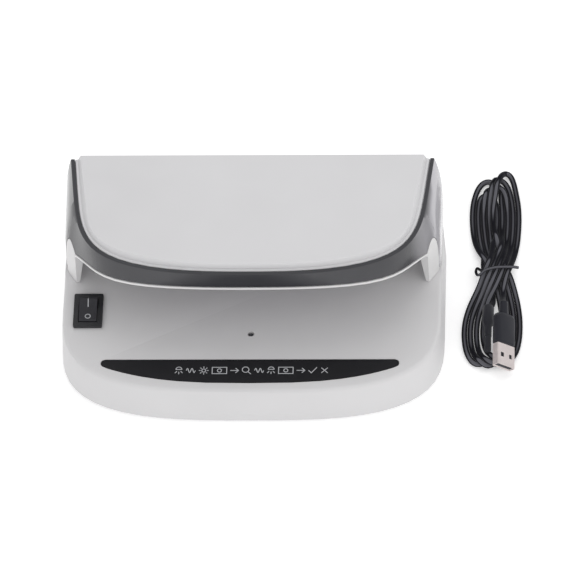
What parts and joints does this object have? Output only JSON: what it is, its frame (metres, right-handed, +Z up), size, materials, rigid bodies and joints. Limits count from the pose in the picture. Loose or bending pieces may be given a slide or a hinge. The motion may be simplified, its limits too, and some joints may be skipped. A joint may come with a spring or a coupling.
{
  "type": "counterfeit bill detector",
  "caption": "Desktop banknote checker: D-shaped base with a sloping deck, lamp hood over an open inspection bay, black band, rocker switch, and a coiled supply cord.",
  "frame": {"origin": "on the table plane, under the middle of the detector's width; 1.2 mm below the flat underside of its bottom cover", "axes": "+X to the operator's right, +Y away from the operator, +Z up"},
  "size_m": [0.2376, 0.1725, 0.0746],
  "materials": {
    "casing_white": "fine-textured moulded ABS, warm light grey",
    "band_black": "polished black moulding",
    "name_plate": "satin black film with light grey pictograms",
    "switch_black": "moulded nylon",
    "window": "violet tinted window",
    "circuit_board": "solder-masked board",
    "lamp": "moulded lamp package",
    "sensor": "clear resin dome",
    "brass": "stamped brass",
    "plated_steel": "nickel plated steel",
    "screw_steel": "zinc plated steel",
    "foot_rubber": "moulded rubber",
    "wire_red": "PVC insulation",
    "wire_black": "PVC insulation",
    "cord": "satin PVC sheath and grips"
  },
  "bodies": {
    "housing": {"base_top_shell": "casing_white", "bottom_cover": "casing_white", "hood_shell": "casing_white", "hood_band": "band_black", "top_cover": "casing_white", "hood_ceiling": "casing_white", "lamp_window": "window", "lamp_board": "circuit_board", "name_plate": "name_plate", "note_sensor": "sensor", "control_board": "circuit_board", "power_socket": "switch_black", "power_socket_pin": "plated_steel", "switch_housing": "switch_black", "centre_terminal": "brass", "front_terminal": "brass", "supply_wire": "wire_red", "switched_wire": "wire_red", "lamp_wire": "wire_black", "board_screw_1": "screw_steel", "board_screw_2": "screw_steel", "uv_lamp_1": "lamp", "uv_lamp_2": "lamp", "uv_lamp_3": "lamp", "uv_lamp_4": "lamp", "uv_lamp_5": "lamp", "uv_lamp_6": "lamp", "rubber_foot_1": "foot_rubber", "rubber_foot_2": "foot_rubber", "rubber_foot_3": "foot_rubber", "rubber_foot_4": "foot_rubber", "case_screw_1": "screw_steel", "case_screw_2": "screw_steel", "case_screw_3": "screw_steel", "case_screw_4": "screw_steel", "hood_screw_1": "screw_steel", "hood_screw_2": "screw_steel", "hood_screw_3": "screw_steel", "hood_screw_4": "screw_steel", "ceiling_screw_1": "screw_steel", "ceiling_screw_2": "screw_steel", "ceiling_screw_3": "screw_steel", "ceiling_screw_4": "screw_steel"},
    "rocker": {"switch_rocker": "switch_black", "switch_plunger": "brass"},
    "contact_lever": {"contact_lever": "brass"},
    "cable": {"usb_cord": "cord", "usb_plug_grip": "cord", "usb_plug_sleeve": "plated_steel", "usb_plug_tongue": "cord", "round_plug_grip": "cord", "round_plug_barrel": "plated_steel"}
  },
  "joints": [
    {"name": "power_rocker", "type": "hinge", "parent": "housing", "child": "rocker", "pos_m": [-0.084, -0.00801, 0.02585], "axis": [-1, 0, 0], "range_deg": [0, 24]},
    {"name": "contact_lever_pivot", "type": "hinge", "parent": "housing", "child": "contact_lever", "pos_m": [-0.084, -0.0074, 0.01707], "axis": [-1, 0, 0], "range_deg": [-16.1, 0.1]},
    {"name": "cable_lift", "type": "slide", "parent": "housing", "child": "cable", "axis": [0, 0, 1], "range_m": [0, 0.1]}
  ],
  "couplings": [
    {"joint": "contact_lever_pivot", "follows": "power_rocker", "ratio": -0.66667}
  ]
}
